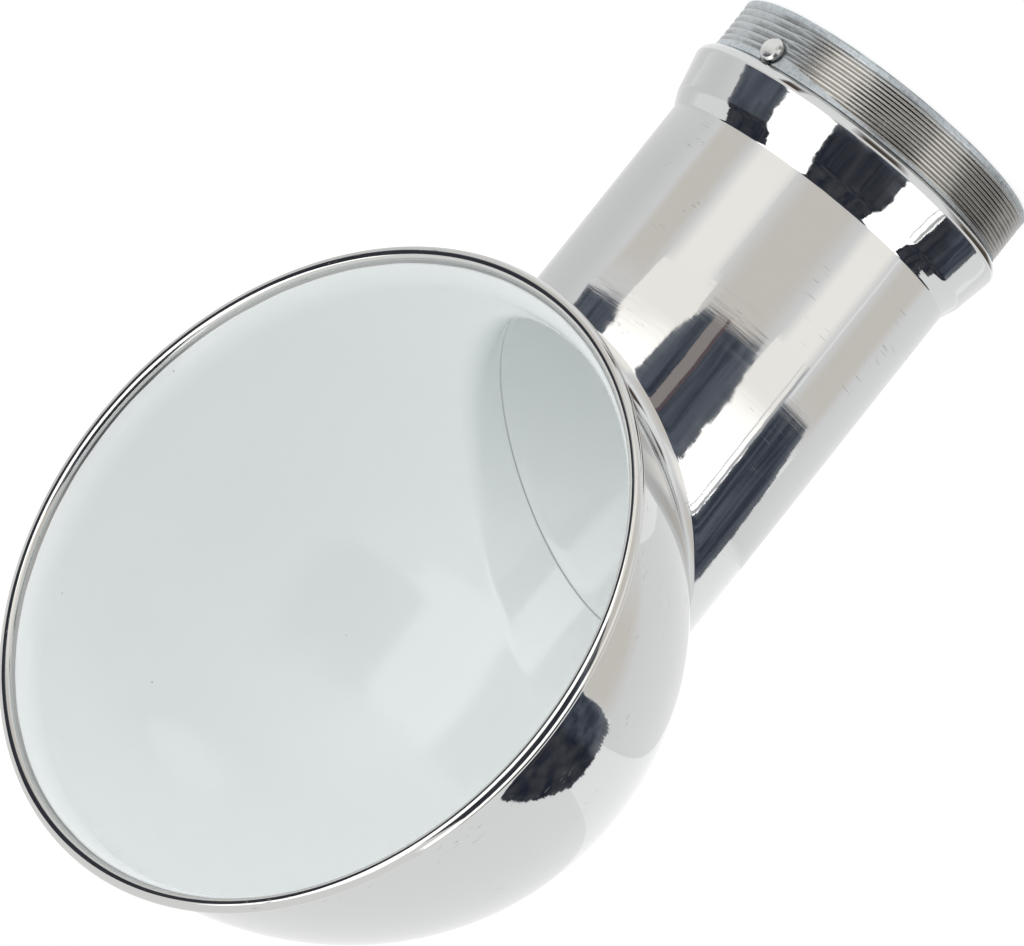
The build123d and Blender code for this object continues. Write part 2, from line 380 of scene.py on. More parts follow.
def bowl_skin(offset, level, edge_depth, counts, neck_turn, mouth_turn):
    """Rows of one side of the bowl, from the weld to the mouth: the straight flange, the drawn
    bend, the ellipsoid along straight lines of its flat map, and the flare's arc."""
    flange_rows, bend_rows, bowl_rows, flare_rows = counts
    bend = drawn_bend(neck_turn, offset, bend_rows)
    radius = NECK_RADIUS + offset
    foot = level_height(radius, neck_turn, level)
    shares = np.linspace(0, 1, flange_rows, endpoint=False)[:, None]
    flange = on_neck(radius, foot + shares * (bend[0, :, 2] - foot), neck_turn)
    start = laid_flat(bend[-1], offset)
    end = math.pi / 2 * np.stack([np.cos(mouth_turn), np.sin(mouth_turn)], -1)
    shares = np.linspace(0, 1, bowl_rows + 1)[1:, None, None]
    flat = start + shares * (end - start)
    bowl = on_bowl(np.linalg.norm(flat, axis=-1), np.arctan2(flat[..., 1], flat[..., 0]), offset)
    flare_radius = FLARE_RADIUS - offset
    sweep = np.arcsin((BELT_DEPTH - edge_depth) / flare_radius)
    angle = np.linspace(0, 1, flare_rows + 1)[1:, None] * sweep
    depth = BELT_DEPTH - flare_radius * np.sin(angle)
    spread = BOWL_RADIUS + FLARE_RADIUS - flare_radius * np.cos(angle)
    flare = round_mouth(depth, spread, mouth_turn)
    return np.concatenate([flange, bend, bowl, flare])


def make_bowl(neck_turn, mouth_turn):
    """Spun bowl with its drawn flange, outside and inside, 1.3 mm apart."""
    level = FLANGE_HEIGHT - WELD_WIDTH / 2
    outside = bowl_skin(0.0, level, 0.0, SHOWN_ROWS, neck_turn, mouth_turn)
    inside = bowl_skin(-SHEET, level, 0.0, HIDDEN_ROWS, neck_turn, mouth_turn)[::-1]
    grid = np.concatenate([outside, inside])
    reach = grid - MOUTH_CENTRE
    depth = reach @ INWARD
    radius = np.hypot(reach @ SIDEWAYS, reach @ UPWARD)
    return grid_piece("cowl_bowl_skin", grid, lay=BOWL_RADIUS * np.arctan2(radius, depth))


def make_bowl_enamel(neck_turn, mouth_turn):
    """White coat inside the bowl, its front edge uneven by a tenth of a millimetre or two."""
    edge = COAT_EDGE_DEPTH + COAT_EDGE_RIPPLE * ripple(mouth_turn, 4, (7, 12, 19, 31, 47))
    level = FLANGE_HEIGHT - WELD_LINE / 2
    inner = bowl_skin(-SHEET - COAT, level, edge, SHOWN_ROWS, neck_turn, mouth_turn)
    outer = bowl_skin(-SHEET - SKIN_GAP, level, edge, HIDDEN_ROWS, neck_turn, mouth_turn)
    grid = np.concatenate([inner, outer[::-1]])
    return grid_piece("bowl_enamel_coat", grid, sharp_above=COAT_SHARP_ABOVE)


def make_bead():
    """Mouth ring: a round bar bent to a circle in the plane of the mouth."""
    turn = np.linspace(0, TURN, BEAD_COLUMNS, endpoint=False)
    section = np.linspace(0, TURN, BEAD_STEPS, endpoint=False)[:, None]
    depth = BEAD_BAR / 2 * np.sin(section)
    grid = round_mouth(depth, BEAD_CENTRE_RADIUS + BEAD_BAR / 2 * np.cos(section), turn)
    return grid_piece("mouth_bead", grid, lay=BEAD_BAR / 2 * section + 0 * turn)


# Neck, collar and ring

def collar_profile(depth):
    """Section of the collar moved in by a depth, from its lip up to the neck: the lip's arc, a
    straight side to the rounded shoulder, and a step to the neck."""
    lip, shoulder = np.array(LIP_CENTRE), np.array(SHOULDER)
    neck_corner = np.array([NECK_RADIUS, COLLAR_TOP])
    run = shoulder - lip
    side_lean = math.atan2(run[1], run[0]) - math.acos(LIP_RADIUS / math.hypot(*run))
    step_lean = math.atan2(shoulder[0] - NECK_RADIUS, COLLAR_TOP - shoulder[1])
    leans = (side_lean, step_lean, 0.0)
    normals = [np.array([math.cos(lean), math.sin(lean)]) for lean in leans]
    corners = [
        corner - depth * (normals[i] + normals[i + 1]) / (1 + normals[i] @ normals[i + 1])
        for i, corner in enumerate((shoulder, neck_corner))
    ]
    arc_radius = LIP_RADIUS - depth
    start = -math.acos((LIP_HOLE - lip[0]) / arc_radius)
    angle = np.linspace(start, side_lean, 26)
    arc = lip + arc_radius * np.stack([np.cos(angle), np.sin(angle)], -1)
    top = np.array([NECK_RADIUS - depth, COLLAR_TOP + 20 * MM])
    shoulder_arc = rounded(arc[-1], corners[0], corners[1], SHOULDER_ROUND - depth, 14)
    neck_arc = rounded(corners[0], corners[1], top, NECK_CORNER_ROUND + depth, 10)
    side = arc[-1] + np.linspace(0, 1, 12)[1:-1, None] * (shoulder_arc[0] - arc[-1])
    return np.concatenate([arc, side, shoulder_arc, neck_arc])


def neck_rows(profile, level, turn, count):
    """Rows of one side of the neck: a profile, then even rows up to the bowl's own level."""
    low = on_neck(profile[:, :1], profile[:, 1:], turn)
    radius, start = profile[-1]
    top = level_height(radius, turn, level)
    shares = np.linspace(0, 1, count + 1)[1:, None]
    return np.concatenate([low, on_neck(radius, start + shares * (top - start), turn)])


def make_neck(turn):
    """Neck tube with its swaged collar and turned-in lip, 1.3 mm thick."""
    level = FLANGE_HEIGHT + WELD_WIDTH / 2
    outside = neck_rows(collar_profile(0.0), level, turn, SHOWN_NECK_ROWS)
    inside = neck_rows(collar_profile(SHEET), level, turn, HIDDEN_NECK_ROWS)[::-1]
    grid = np.concatenate([outside, inside])
    return grid_piece("neck_tube_skin", grid, lay=grid[..., 2])


def make_weld(turn):
    """Band of weld between flange and neck, ground flush on both sides."""
    levels = FLANGE_HEIGHT + WELD_WIDTH / 2 * np.array([1.0, 0.0, -1.0])
    rows = [(NECK_RADIUS, level) for level in levels]
    rows += [(NECK_RADIUS - SHEET, level) for level in levels[::-1]]
    grid = np.stack([on_neck(r, level_height(r, turn, level), turn) for r, level in rows])
    return grid_piece("neck_weld_band", grid, lay=grid[..., 2])


def make_neck_enamel(turn):
    """White coat inside the neck, from above the braze to just short of the bowl's coat, so that
    the weld shows as a fine dark line between the two."""
    bottom = RING_HEIGHT + BRAZE_LEG
    level = FLANGE_HEIGHT + WELD_LINE / 2
    sides = []
    for depth in (SHEET + COAT, SHEET + SKIN_GAP):
        profile = collar_profile(depth)
        profile = profile[profile[:, 1] > bottom]
        sides.append(neck_rows(profile, level, turn, SHOWN_NECK_ROWS))
    grid = np.concatenate([sides[0], sides[1][::-1]])
    return grid_piece("neck_enamel_coat", grid, sharp_above=COAT_SHARP_ABOVE)


def share_from_pin(turn):
    """Share of a turn from the locking pin."""
    return ((turn - PIN_TURN) % TURN) / TURN


def thread_end(turn):
    """Height at which the thread ends, by the share of a turn from the locking pin: it climbs for
    nine tenths of the turn, then runs out towards the pin, and steps back within the pin's cup."""
    share = share_from_pin(turn)
    climb = THREAD_CLIMB * np.interp(share, (0, RUN_OUT[0], 1), (0, 1, 1))
    run_out = np.interp(share, (*RUN_OUT, 1), (0, THREAD_RUN_OUT, THREAD_CLIMB))
    return THREAD_END + climb - run_out


def thread_radius(height, turn):
    """Radius of the thread: two rounded ridges in each pitch with a sharp groove after each.

    The groove's depth is the share of the way from a ridge to the groove, to the power 1.5. It
    fades in from the ring's free end and ends at the last ridge. On one side of the locking pin
    the two ridges are worn into one, so a pitch is there a plain cosine wave, half as deep
    again, and they grow apart round to its other side.
    """
    phase = (height / THREAD_PITCH - turn / TURN - THREAD_PHASE) % 1.0
    ahead = (phase - SECOND_RIDGE) / (1 - SECOND_RIDGE)
    between = np.where(phase < SECOND_RIDGE, phase / SECOND_RIDGE, ahead)
    groove = (1 - np.abs(2 * between - 1)) ** GROOVE_POWER
    worn = np.interp(share_from_pin(turn), *zip(*WEAR))
    wave = 0.5 + 0.5 * np.cos(TURN * (phase - (1 + SECOND_RIDGE) / 2))
    groove = (1 - worn) * groove + worn * WORN_DEPTH * wave
    ease_in = np.clip((height - THREAD_START) / THREAD_EASE_IN, 0, 1)
    ease_out = np.clip((thread_end(turn) - height) / THREAD_EASE_OUT, 0, 1)
    return THREAD_RADIUS - THREAD_DEPTH * groove * ease_in * ease_out


def make_ring():
    """Threaded ring: one grid whose thread rows climb with the helix and are held between the
    thread's ends, so ridges and grooves run along the rows."""
    turn = np.linspace(0, TURN, RING_COLUMNS + 1)
    low = np.array([
        (BORE_RADIUS, 16 * MM), (BORE_RADIUS, 0.6 * MM), (BORE_RADIUS + 0.6 * MM, 0.0),
        (48.5 * MM, 0.0), (50.2 * MM, 0.0), (THREAD_RADIUS - 1.0 * MM, 0.0),
        (THREAD_RADIUS - 0.35 * MM, 0.35 * MM), (THREAD_RADIUS - 0.1 * MM, 0.6 * MM),
    ])
    seat, seat_radius = RING_EXPOSED - SEAT_LEAD, THREAD_RADIUS - SEAT_STEP
    high = np.array([
        (THREAD_RADIUS, 17.2 * MM), (THREAD_RADIUS, seat - 0.15 * MM),
        (THREAD_RADIUS - 0.15 * MM, seat), (seat_radius, seat), (seat_radius, RING_EXPOSED),
        (seat_radius, RING_HEIGHT - 0.4 * MM),
        (THREAD_RADIUS - 1.0 * MM, RING_HEIGHT), (BORE_RADIUS + 2.4 * MM, RING_HEIGHT),
        (BORE_RADIUS, RING_HEIGHT - 2.4 * MM), (BORE_RADIUS, 24 * MM),
    ])
    pitches = np.arange(-2, 6, 1 / PITCH_ROWS)[:, None]
    climb = THREAD_PITCH * (pitches + THREAD_PHASE + SECOND_RIDGE / 2)
    height = np.clip(climb + THREAD_PITCH * turn / TURN, THREAD_START, thread_end(turn))
    thread = on_neck(thread_radius(height, turn), height, turn)
    grid = np.concatenate([
        on_neck(low[:, :1], low[:, 1:], turn), thread, on_neck(high[:, :1], high[:, 1:], turn)
    ])
    rows, columns = grid.shape[:2]
    index = np.arange(rows * columns).reshape(rows, columns)
    below, above = index, np.roll(index, -1, axis=0)
    quads = np.stack([below[:, :-1], below[:, 1:], above[:, 1:], above[:, :-1]], -1)
    piece = make_piece("threaded_ring_body", grid.reshape(-1, 3), quads.reshape(-1, 4))
    close_seams(piece)
    return piece


# Lays an upright piece along the locking pin's axis
PIN_PLACE = (
    Matrix.Translation((0, 0, PIN_HEIGHT))
    @ Matrix.Rotation(PIN_TURN, 4, "Z")
    @ Matrix.Rotation(math.pi / 2, 4, "Y")
)


def drill_for_pin(ring):
    """Cuts the pin's guide, its pocket and the cup round its nose out of the ring."""
    drill = turned_piece("drill", np.array([
        (0, 60 * MM), (RECESS_RADIUS, 60 * MM), (RECESS_RADIUS, THREAD_RADIUS - RECESS_DEPTH),
        (GUIDE_RADIUS, THREAD_RADIUS - RECESS_DEPTH), (GUIDE_RADIUS, POCKET_FRONT),
        (POCKET_RADIUS, POCKET_FRONT), (POCKET_RADIUS, 40 * MM), (0, 40 * MM),
    ]), PIN_PLACE, DRILL_COLUMNS)
    cut = ring.modifiers.new("pin hole", "BOOLEAN")
    cut.object = drill
    cut.operation = "DIFFERENCE"
    cut.solver = "EXACT"
    bpy.context.view_layer.update()
    drilled = ring.evaluated_get(bpy.context.evaluated_depsgraph_get())
    mesh = bpy.data.meshes.new_from_object(drilled)
    ring.modifiers.clear()
    ring.data = mesh
    bpy.data.objects.remove(drill)
    smooth(ring, RING_SHARP_ABOVE)


def make_boss():
    """Cast boss inside the ring, round the pin's pocket, with a foot that spreads to the bore."""
    spread = np.linspace(math.pi, math.pi / 2, 8)
    centre = np.array([BOSS_RADIUS + BOSS_FOOT, BORE_RADIUS - 0.9 * MM - BOSS_FOOT])
    arc = centre + BOSS_FOOT * np.stack([np.cos(spread), np.sin(spread)], -1)
    profile = np.concatenate([
        [(POCKET_RADIUS + 0.3 * MM, BOSS_FACE), (BOSS_RADIUS - 0.5 * MM, BOSS_FACE),
         (BOSS_RADIUS - 0.15 * MM, BOSS_FACE + 0.15 * MM), (BOSS_RADIUS, BOSS_FACE + 0.5 * MM)],
        arc,
        [(BOSS_RADIUS + BOSS_FOOT, BORE_RADIUS + 0.6 * MM), (POCKET_RADIUS, BORE_RADIUS + 0.6 * MM),
         (POCKET_RADIUS, BOSS_FACE + 0.3 * MM)],
    ])
    return turned_piece("pin_boss", profile, PIN_PLACE, TURNED_COLUMNS)


def make_pin():
    """Locking pin: a domed nose with a turned chamfer, a shoulder and a tail."""
    dome_foot = PIN_TIP - PIN_DOME
    chamfer = PIN_RADIUS - PIN_NOSE_RADIUS
    out = np.linspace(0, 1, 9)[:, None]
    dome = np.concatenate([PIN_NOSE_RADIUS * out, PIN_TIP - PIN_DOME * out**2], axis=1)
    nose = rounded((0, dome_foot + 0.1 * MM), (PIN_NOSE_RADIUS, dome_foot),
                   (PIN_RADIUS, dome_foot - chamfer), 0.25 * MM, 5)
    shoulder_back, shoulder_front = PIN_SHOULDER
    profile = np.concatenate([dome[:-1], nose, [
        (PIN_RADIUS, dome_foot - chamfer), (PIN_RADIUS, shoulder_front),
        (PIN_SHOULDER_RADIUS, shoulder_front), (PIN_SHOULDER_RADIUS, shoulder_back),
        (PIN_TAIL_RADIUS, shoulder_back), (PIN_TAIL_RADIUS, PIN_TAIL_END), (0, PIN_TAIL_END),
    ]])
    return turned_piece("locking_pin", profile, PIN_PLACE, TURNED_COLUMNS, PIN_SHARP_ABOVE)


# Materials

NOISE_ROUGHNESS = 0.55


def linear_colour(code):
    """Linear colour of an sRGB hex value: the straight part below 0.04045, the power above."""
    parts = [int(code[i:i + 2], 16) / 255 for i in (1, 3, 5)]
    return (*[p / 12.92 if p <= 0.04045 else ((p + 0.055) / 1.055) ** 2.4 for p in parts], 1.0)


def add_node(tree, kind, *values, **named):
    """Adds a shader node, with its settings and the values or links of its inputs.

    The values go to the inputs in use, in their order. A name in lower case is a setting, and
    any other is an input. A node stands for its first output in use, and a hex value for its
    colour.
    """
    made = tree.nodes.new("ShaderNode" + kind)
    for name, value in named.items():
        if name.islower():
            setattr(made, name, value)
    sockets = [socket for socket in made.inputs if socket.enabled]
    by_name = {socket.name.replace(" ", "_"): socket for socket in sockets}
    given = list(zip(sockets, values))
    given += [(by_name[name], value) for name, value in named.items() if not name.islower()]
    for socket, value in given:
        if isinstance(value, bpy.types.Node):
            value = next(output for output in value.outputs if output.enabled)
        if isinstance(value, bpy.types.NodeSocket):
            tree.links.new(value, socket)
        else:
            socket.default_value = linear_colour(value) if isinstance(value, str) else value
    return made


def new_material(name):
    """An empty material, and what adds a node to it."""
    finish = bpy.data.materials.new(name)
    finish.use_nodes = True
    finish.node_tree.nodes.clear()
    return finish, functools.partial(add_node, finish.node_tree)


def from_axis(node, place):
    """Distance of a place from the neck's axis."""
    level = node("VectorMath", place, (1.0, 1.0, 0.0), operation="MULTIPLY")
    return node("VectorMath", level, operation="LENGTH")


def feed_noise(node, place, across, feed, detail):
    """Noise drawn out round the piece: its patches have one length across the polishing feed,
    and a much shorter one along it."""
    parts = node("SeparateXYZ", place)
    lay = node("Attribute", attribute_name="lay").outputs["Fac"]
    scaled = [
        node("Math", value, 1 / size, operation="MULTIPLY")
        for value, size in ((parts.outputs["X"], across), (parts.outputs["Z"], across), (lay, feed))
    ]
    return node("TexNoise", Vector=node("CombineXYZ", *scaled), Scale=1.0, Detail=detail)


def polished_stainless(name, colour, low, high, scratch):
    """Grade 304 stainless sheet, spun and then buffed to a mirror.

    It gives the eye sharp reflections that waver a little, more on the collar that was hammered
    to shape, drawn out by fine polishing lines round the piece, with a few short dull scratches.
    The lines are drawn coarser than buffing leaves them, so that they show. The sheet's cut edge
    at the mouth, past a distance along the feed, is left duller.
    """
    finish, node = new_material(name)
    place = node("TexCoord").outputs["Object"]
    height = node("SeparateXYZ", place).outputs["Z"]
    lay = node("Attribute", attribute_name="lay").outputs["Fac"]
    lines = feed_noise(node, place, 9 * MM, 0.35 * MM, 2.0)
    streaks = feed_noise(node, place, 14 * MM, 1.5 * MM, 2.5)
    dashes = feed_noise(node, place, 3.5 * MM, 0.3 * MM, 0.0)
    patches, waves, hammered = [
        node("TexNoise", Vector=place, Scale=1 / size, Detail=detail, Roughness=NOISE_ROUGHNESS)
        for size, detail in ((16 * MM, 0.0), (26 * MM, 1.0), (10 * MM, 1.0))
    ]
    marks = node("Math", node("MapRange", dashes, 0.74, 0.78, 0.0, 1.0),
                 node("MapRange", patches, 0.62, 0.68, 0.0, 1.0), operation="MULTIPLY")
    as_cut = node("MapRange", lay, CUT_EDGE_LAY, CUT_EDGE_LAY + 0.2 * MM, 0.0, 1.0)
    dull = node("Math", marks, as_cut, operation="MAXIMUM")
    shade = node("Math", dull, 0.5, operation="MULTIPLY")
    rough = node("Math", node("MapRange", streaks, 0.35, 0.75, low, high),
                 node("Math", dull, 0.3, operation="MULTIPLY"), operation="MAXIMUM")
    on_collar = node("MapRange", height, COLLAR_TOP - 2 * MM, COLLAR_TOP + 1 * MM, 1.0, 0.0)
    dents = node("Math", hammered, on_collar, operation="MULTIPLY")
    normal = node("Bump", Height=waves, Distance=0.10 * MM)
    for relief, depth in ((dents, 0.11 * MM), (streaks, scratch * 4), (lines, scratch)):
        normal = node("Bump", Height=relief, Distance=depth, Normal=normal)
    node("OutputMaterial", Surface=node(
        "BsdfPrincipled", Base_Color=node("Mix", shade, colour, "#77787A", data_type="RGBA"),
        Metallic=1.0, Roughness=rough, Normal=normal))
    return finish


def ground_weld():
    """Stainless butt weld, ground and buffed outside and thinly sprayed over inside.

    It gives the eye the sheet's own mirror outside, and a soft grey line between the coats,
    whose grey is partly the thin coat and partly painted shade in the crease.
    """
    finish, node = new_material("ground weld")
    place = node("TexCoord").outputs["Object"]
    sprayed = (NECK_RADIUS - 0.8 * MM, NECK_RADIUS - 0.5 * MM)
    # Grey inside: partly the thin coat over the weld, partly painted shade in the crease between
    # the coats
    inside = node("MapRange", from_axis(node, place), *sprayed, 1.0, 0.0)
    lumps = node("TexNoise", Vector=place, Scale=1 / (0.8 * MM), Detail=3.0,
                 Roughness=NOISE_ROUGHNESS)
    node("OutputMaterial", Surface=node(
        "BsdfPrincipled", Base_Color=node("Mix", inside, "#CFD0D0", "#C4CBC9", data_type="RGBA"),
        Metallic=node("MapRange", inside, 0.0, 1.0, 1.0, 0.0),
        Roughness=node("MapRange", inside, 0.0, 1.0, 0.05, 0.5),
        Normal=node("Bump", Height=lumps, Distance=0.02 * MM, Strength=inside)))
    return finish


def baked_enamel():
    """White gloss enamel, sprayed and baked.

    It gives the eye an even, faintly cool white with soft-edged reflections, slight orange
    peel, and a few specks of dust.
    """
    finish, node = new_material("baked white enamel")
    place = node("TexCoord").outputs["Object"]
    peel = node("TexNoise", Vector=place, Scale=1 / (5 * MM), Detail=1.5, Roughness=NOISE_ROUGHNESS)
    specks = node("TexVoronoi", Vector=place, Scale=1 / (17 * MM), Randomness=1.0, feature="F1")
    dust = node("MapRange", specks, 0.012, 0.022, 1.0, 0.0)
    node("OutputMaterial", Surface=node(
        "BsdfPrincipled", Base_Color=node("Mix", dust, "#F4F8F8", "#BDC2C1", data_type="RGBA"),
        Roughness=0.12, IOR=1.5, Normal=node("Bump", Height=peel, Distance=0.012 * MM)))
    return finish


def cast_stainless():
    """Cast stainless ring, turned and threaded, its plain band and free end left nearly as cast.

    It gives the eye a cool grey that is pebbled and pitted where it is cast and frosted beside
    the pin, with smoother ridges, brown in the thread's grooves that is partly grime and partly
    painted shade, and a darker tint over one side.
    """
    finish, node = new_material("cast stainless")
    place = node("TexCoord").outputs["Object"]
    parts = node("SeparateXYZ", place)
    height = parts.outputs["Z"]
    radius = from_axis(node, place)
    turn = node("Math", parts.outputs["Y"], parts.outputs["X"], operation="ARCTAN2")
    past_pin = node("Math", turn, PIN_TURN, operation="SUBTRACT")
    share = node("Math", node("Math", past_pin, 1 / TURN, operation="MULTIPLY"), operation="FRACT")
    climbed = node("MapRange", share, 0.0, RUN_OUT[0], THREAD_END, THREAD_END + THREAD_CLIMB)
    run_out = node("MapRange", share, *RUN_OUT, 0.0, THREAD_RUN_OUT)
    end = node("Math", climbed, run_out, operation="SUBTRACT")
    above = node("Math", height, end, operation="SUBTRACT")
    band = node("MapRange", above, -0.1 * MM, 0.25 * MM, 0.0, 1.0)
    free_end = node("MapRange", height, 1.6 * MM, 3.6 * MM, 1.0, 0.0)
    by_pin = node("Math", node("MapRange", share, 0.95, 0.98, 0.0, 0.7),
                  node("MapRange", share, 0.15, 0.25, 0.7, 0.0), operation="MAXIMUM")
    as_cast = node("Math", node("Math", band, free_end, operation="MAXIMUM"), by_pin,
                   operation="MAXIMUM")
    pits, groove_patches, pebbles = [
        node("TexNoise", Vector=place, Scale=1 / size, Detail=detail, Roughness=roughness)
        for size, detail, roughness in (
            (1.3 * MM, 4.0, 0.7), (14 * MM, 4.0, NOISE_ROUGHNESS), (0.6 * MM, 2.0, NOISE_ROUGHNESS))
    ]
    # Darker tint over one side of the ring, from a quarter to nine tenths of a turn past the pin,
    # and less at the free end
    darker_side = node("Math", node("MapRange", share, 0.88, 0.74, 0.0, 0.5),
                   node("MapRange", share, 0.25, 0.6, 0.0, 1.0), operation="MULTIPLY")
    darker_side = node("Math", darker_side, node("MapRange", free_end, 0.0, 1.0, 1.0, 0.4),
                   operation="MULTIPLY")
    # Brown deepest at the thread's groove floors, in patches: partly grime, partly painted shade in
    # the recesses
    groove_floor, ridge = THREAD_RADIUS - THREAD_DEPTH, THREAD_RADIUS - 0.08 * MM
    thread_foot = (THREAD_RADIUS - 1.0 * MM, THREAD_RADIUS - 0.7 * MM)
    groove = node("Math", node("MapRange", radius, groove_floor, ridge, 1.0, 0.0),
                  node("MapRange", radius, *thread_foot, 0.0, 1.0), operation="MULTIPLY")
    patchy_groove_grime_and_shade = node("Math", groove, node("MapRange", groove_patches, 0.44, 0.62, 0.12, 0.9),
                   operation="MULTIPLY")
    groove_grime_and_shade = node("Math", patchy_groove_grime_and_shade, node("MapRange", by_pin, 0.0, 0.7, 1.0, 0.5), operation="MULTIPLY")
    mottle = node("Math", node("MapRange", pits, 0.45, 0.7, 0.0, 0.5), as_cast,
                  operation="MULTIPLY")
    colour = node("Mix", as_cast, "#B8B6B2", "#C3CACE", data_type="RGBA")
    for mask, tint in ((mottle, "#7D8285"), (darker_side, "#4A4640"), (groove_grime_and_shade, "#453E37")):
        colour = node("Mix", mask, colour, tint, data_type="RGBA")
    rough = node("Math", node("MapRange", as_cast, 0.0, 1.0, 0.15, 0.34),
                 node("MapRange", pits, 0.3, 0.7, 0.0, 0.14), operation="ADD")
    pebbled = node("Bump", Height=pebbles, Distance=0.10 * MM,
                   Strength=node("MapRange", as_cast, 0.0, 1.0, 0.12, 1.0))
    pitted = node("Bump", Height=node("MapRange", pits, 0.25, 0.42, 0.0, 1.0), Distance=0.10 * MM,
                  Strength=node("MapRange", as_cast, 0.0, 1.0, 0.15, 0.8), Normal=pebbled)
    node("OutputMaterial", Surface=node(
        "BsdfPrincipled", Base_Color=colour, Metallic=1.0, Roughness=rough, Normal=pitted))
    return finish


def turned_metal(name, colour, roughness, patch):
    """Bar metal turned or drawn to size. It gives the eye a satin sheen that is uneven in patches
    of one length."""
    finish, node = new_material(name)
    place = node("TexCoord").outputs["Object"]
    marks = node("TexNoise", Vector=place, Scale=1 / patch, Detail=2.0, Roughness=NOISE_ROUGHNESS)
    node("OutputMaterial", Surface=node(
        "BsdfPrincipled", Base_Color=colour, Metallic=1.0,
        Roughness=node("MapRange", marks, 0.3, 0.7, roughness * 0.7, roughness * 1.3),
        Normal=node("Bump", Height=marks, Distance=0.008 * MM)))
    return finish


def dress(piece, finish, slot, body, *stands_for):
    """Gives a new piece its finish, its body and the nodes it replaces. Its slot of the record is
    not used.
    """
    piece.data.materials.clear()
    piece.data.materials.append(finish)
    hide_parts(*stands_for)
    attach(piece, body)


def dress_node(node, finish):
    """Gives a CAD node its finish."""
    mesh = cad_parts[node].data
    mesh.materials.clear()
    mesh.materials.append(finish)


# Studio

CAMERA_PLACE = Vector((-1328.4, -1520.4, 365.4)) * MM
CAMERA_AIM = Vector((24.3, -3.2, 153.8)) * MM
CAMERA_ROLL = math.radians(141.43)
CAMERA_REACH = 100.0
SENSOR_WIDTH = 36.0
IMAGE_WIDTH = 1024
FOCAL_PIXELS = 6838.7

# Cards that stand round the object: the turns of the neck, in degrees, between which each shows
# in it, its lowest and highest points in mm, its distance, and the degrees that its sides fray
CARD_DISTANCE = 450 * MM
FAR_CARD_DISTANCE = 720 * MM
SOFT_BOX_DISTANCE = 459 * MM
STRIPE_DISTANCE = 445.5 * MM
SIDE_DISTANCE = 1200 * MM
DARK_CARDS = {
    "dark_card_left": (-186.5, -165.5, 0, 560, FAR_CARD_DISTANCE, 0.7),
    "dark_card_middle": (-150.0, -120.0, 29, 420, CARD_DISTANCE, 1.3),
    "dark_card_right": (-102.5, -84.0, 45, 420, CARD_DISTANCE, 1.3),
}
SOFT_BOXES = {
    "soft_box_left": (-167.0, -146.0, 22, 560, SOFT_BOX_DISTANCE, 0.5),
    "soft_box_right": (-125.0, -98.5, 22, 560, SOFT_BOX_DISTANCE, 0.5),
}
SHADE = (-160.0, -128.0, 0, 900, SIDE_DISTANCE)

# Narrow cards in front of those: the same turns and heights, and a colour
STRIPES = {
    "grey_stripe": (-133.0, -129.0, 29, 101, "#A09896"),
    "rusty_stripe": (-134.2, -133.0, 29, 95, "#6A5C60"),
    "frame_line_near": (-166.7, -165.6, 24, 118, "#CBCBCD"),
    "frame_line_far": (-163.9, -163.3, 24, 118, "#F8F8F8"),
}
STRIPE_FRAY = 0.3

# How the sides of some cards lean: for one side and then the other, heights in mm and degrees
LEANS = {
    "dark_card_left": (
        ((0, 8), (12, 4), (24, 0), (40, -2.5), (120, -3.5), (167, -3.5), (213, -2.5), (266, 2),
         (318, 6.5), (365, 12), (420, 20), (560, 24)),
    ),
    "dark_card_middle": (
        ((29, 5), (38, 1), (55, 0)),
        ((29, -9), (38, -5), (52, 1), (75, 2), (100, -3)),
    ),
    "dark_card_right": (((40, 7), (52, 2), (75, 0)),),
    "soft_box_left": (((22, 5), (35, 3), (60, 0)), ((22, -7), (50, -2), (70, 0))),
    "soft_box_right": (((22, 5), (50, 1), (70, 0)), ((22, -7), (50, -2), (70, 0))),
}

# The fraying: lengths of its waves in mm, and the heights between which the short ones end
FRAY_SEEDS = (3, 8)
FRAY_WAVES = np.array([0.9, 1.7, 2.9, 4.7, 9.0, 23.0, 41.0])
SHORT_WAVE = 5
SHORT_WAVES_END = (98, 112)
USUAL_SWING = 2.5

# Sheets that lie on the floor: the turns of the neck that they show at, and how near and far
GREY_FLOOR = {
    "grey_floor_left": (-187.5, -168.0),
    "grey_floor_middle": (-149.5, -120.5),
    "grey_floor_right": (-102.5, -85.0),
}
CREAM_FLOOR = {
    "cream_floor_left": (-167.0, -149.5),
    "cream_floor_right": (-122.5, -102.0),
}
PALE_REACH = (160 * MM, 800 * MM)
DARK_NEAR = {
    "dark_floor_left": (-208.0, -167.0),
    "dark_floor_middle": (-149.0, -126.0),
    "dark_floor_right": (-107.0, -97.0),
}
DARK_REACH = (56 * MM, 115 * MM)

# Dim sheets at both sides: the turns, the height in mm of the card that stands behind, if there
# is one, and the strength
DIM_SIDES = {
    "dim_side_left": (-217.0, -187.5, 0, 0.95),
    "dim_side_right": (-86.0, -46.0, 300, 0.83),
}

CARD_COLUMNS = 25
SECTOR_ROWS = 40
FLOOR_COLUMNS = 96
RING_LIGHT_COLUMNS = 48
FADE_SHARE = 0.22
SHEET_LEVEL = 0.4 * MM
FLOOR_LEVEL = -0.3 * MM
FLOOR_RADIUS = 30.0
RING_LIGHT_LEVEL = 0.5 * MM
RING_LIGHT_RADII = (1 * MM, 40 * MM)


